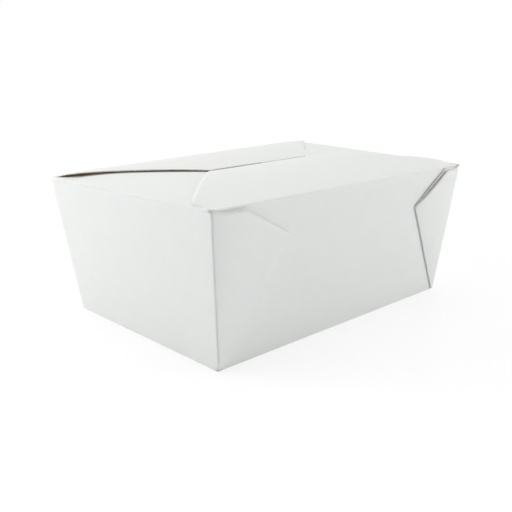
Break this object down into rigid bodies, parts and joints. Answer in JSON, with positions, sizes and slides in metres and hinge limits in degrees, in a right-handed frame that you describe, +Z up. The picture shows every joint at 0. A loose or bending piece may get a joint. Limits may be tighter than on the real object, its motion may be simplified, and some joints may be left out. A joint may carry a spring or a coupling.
{
  "type": "takeout food box",
  "caption": "Folded white paperboard food box with leak-proof web corners and a tuck flap that locks the lid.",
  "frame": {"origin": "middle of the base, on the surface that the box stands on", "axes": "+X along the long faces, +Y towards the wall that carries the tuck flap, +Z up"},
  "size_m": [0.216, 0.1648, 0.096],
  "materials": {
    "white_board": "smooth white coated paperboard with pale raw cut edges"
  },
  "bodies": {
    "carton": {"carton": "white_board"},
    "tuck_flap": {"tuck_flap": "white_board"}
  },
  "joints": [
    {"name": "tuck_flap_fold", "type": "hinge", "parent": "carton", "child": "tuck_flap", "pos_m": [0, 0.07977, 0.089], "axis": [-1, 0, 0], "range_deg": [0, 180]}
  ]
}
